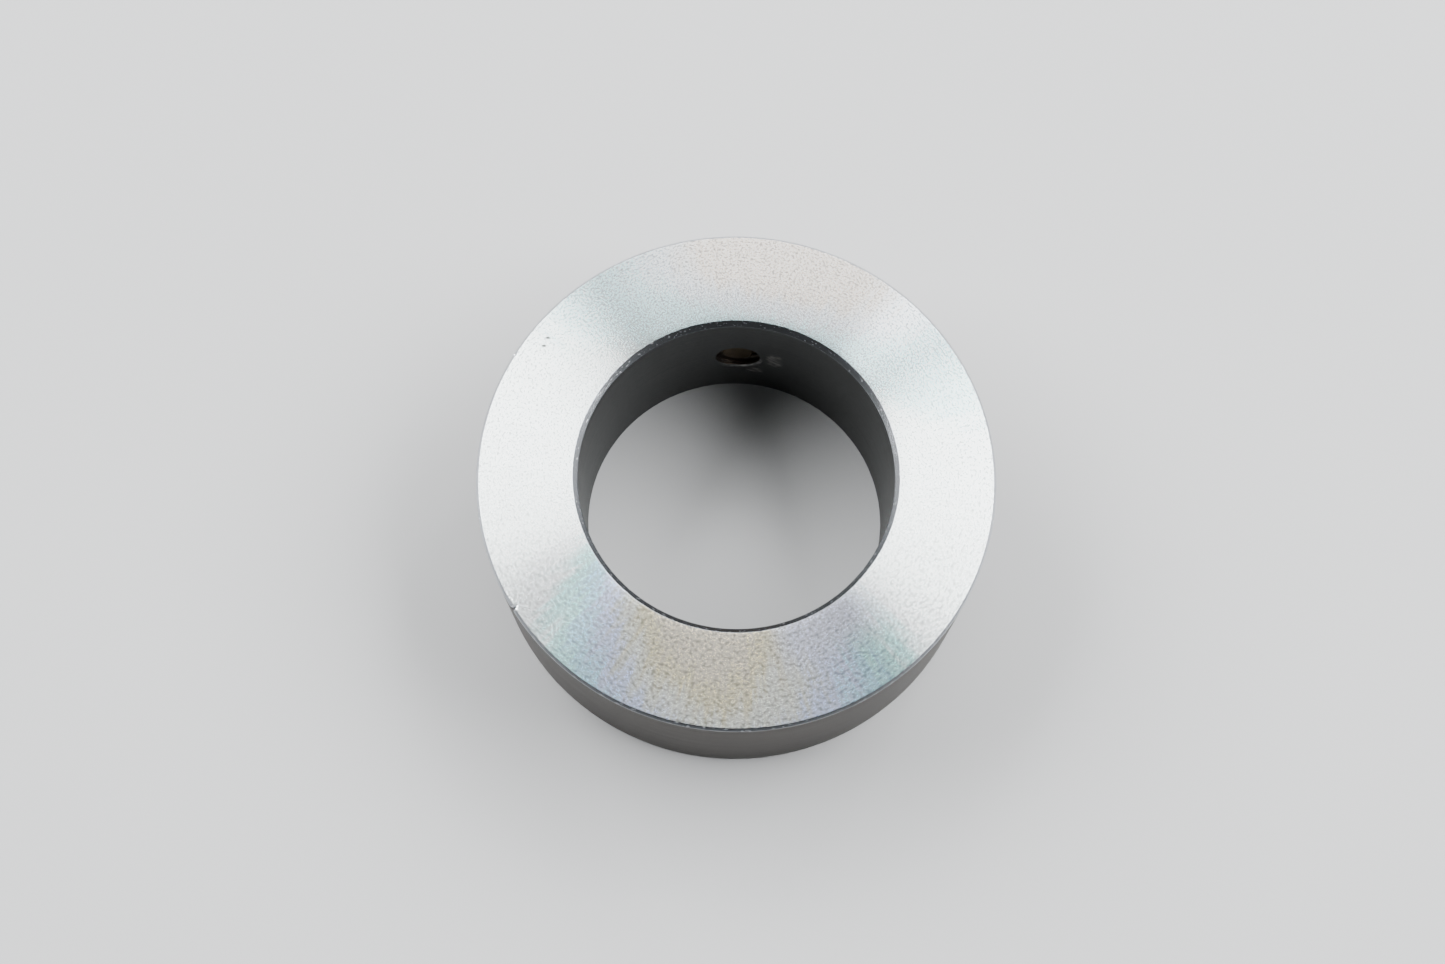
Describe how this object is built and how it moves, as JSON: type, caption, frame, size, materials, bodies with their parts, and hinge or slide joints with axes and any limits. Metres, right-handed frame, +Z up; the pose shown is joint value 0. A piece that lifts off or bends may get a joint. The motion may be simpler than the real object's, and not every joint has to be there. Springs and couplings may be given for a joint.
{
  "type": "set-screw shaft collar",
  "caption": "Solid steel shaft collar that locks to a shaft with one socket set screw acting through a small brass thrust pad.",
  "frame": {"origin": "centre of the ring's lower face, on the bore's axis", "axes": "+Z up the bore's axis; the set screw's hole runs out of the ring along +Y"},
  "size_m": [0.036, 0.036, 0.012],
  "materials": {
    "ring_steel": "bright turned steel, faces turned to fine rings, edges broken",
    "screw_steel": "black oxide, lightly oiled",
    "pad_brass": "dull, oily brass"
  },
  "bodies": {
    "collar": {"collar_ring": "ring_steel"},
    "pad": {"thrust_pad": "pad_brass"},
    "screw": {"set_screw": "screw_steel"}
  },
  "joints": [
    {"name": "screw_advance", "type": "slide", "parent": "collar", "child": "pad", "axis": [0, -1, 0], "range_m": [-0.0021, 0.0003]},
    {"name": "screw_turn", "type": "hinge", "parent": "pad", "child": "screw", "pos_m": [0, 0.0147, 0.006], "axis": [0, -1, 0], "range_deg": [-1080, 154.3]}
  ],
  "couplings": [
    {"joint": "screw_turn", "follows": "screw_advance", "rad_per_m": 8976}
  ]
}
